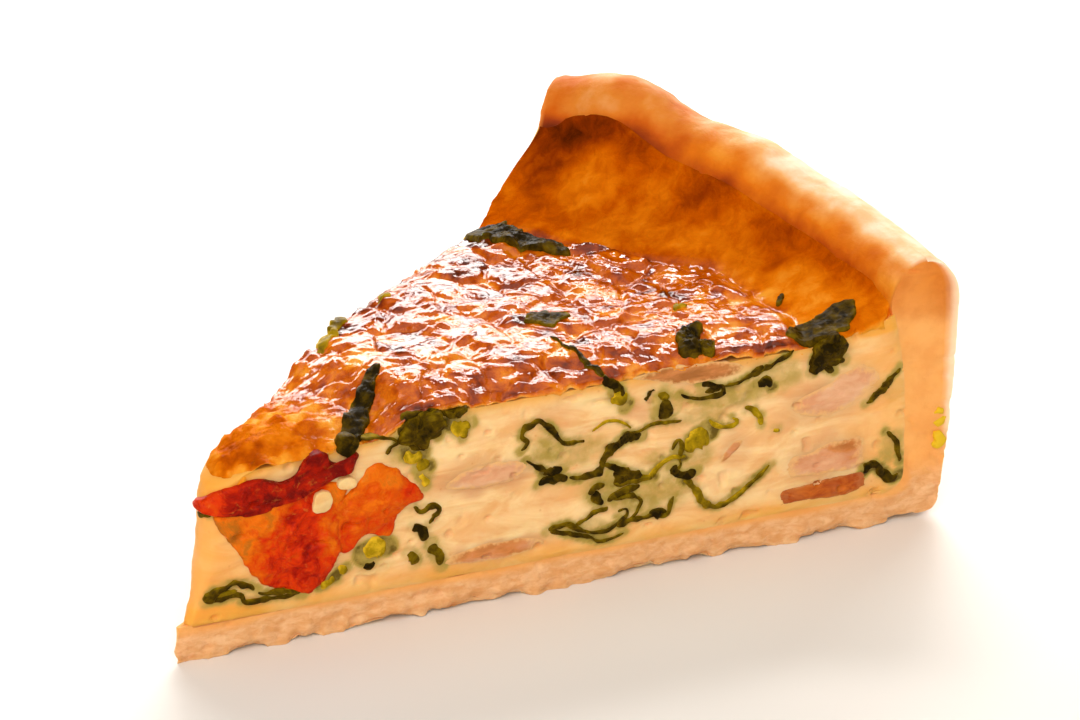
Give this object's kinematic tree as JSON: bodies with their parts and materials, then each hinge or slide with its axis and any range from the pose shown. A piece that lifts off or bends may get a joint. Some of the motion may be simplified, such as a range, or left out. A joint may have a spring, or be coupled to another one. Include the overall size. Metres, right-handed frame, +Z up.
{
  "type": "slice of quiche",
  "caption": "Wedge slice of baked quiche with a pastry base and rolled rim, set custard holding spinach, bacon and tomato, and a browned blistered top.",
  "frame": {"origin": "bottom centre of the slice's bounding box, on the surface it rests on", "axes": "+X from the tip of the wedge to the rim, along the front cut; +Y away from the front cut; +Z up"},
  "size_m": [0.1062, 0.0706, 0.0459],
  "materials": {
    "crust": "baked pastry, golden tan outside, paler and crumbly where cut, orange brown inside the wall",
    "custard": "set custard, pale cream yellow where cut, glossy orange brown and blistered on top",
    "tomato": "roasted tomato, dark red wrinkled skin over wet orange red flesh",
    "bacon": "cooked bacon, pale pink with a red brown rind",
    "spinach": "wilted spinach, dark green folds, nearly black where baked"
  },
  "bodies": {
    "root": {"bacon_back_low": "bacon", "bacon_back_middle": "bacon", "bacon_back_tip": "bacon", "bacon_block": "bacon", "bacon_low": "bacon", "bacon_sliver": "bacon", "bacon_streak": "bacon", "bacon_under_top": "bacon", "bacon_wall": "bacon", "crust": "crust", "custard": "custard", "spinach_back_fold": "spinach", "spinach_back_tip": "spinach", "spinach_back_wall": "spinach", "spinach_base": "spinach", "spinach_corner": "spinach", "spinach_fold": "spinach", "spinach_hem": "spinach", "spinach_hook": "spinach", "spinach_loop": "spinach", "spinach_middle": "spinach", "spinach_rear": "spinach", "spinach_row": "spinach", "spinach_step": "spinach", "spinach_strip": "spinach", "spinach_tuft": "spinach", "tomato": "tomato"}
  },
  "joints": []
}
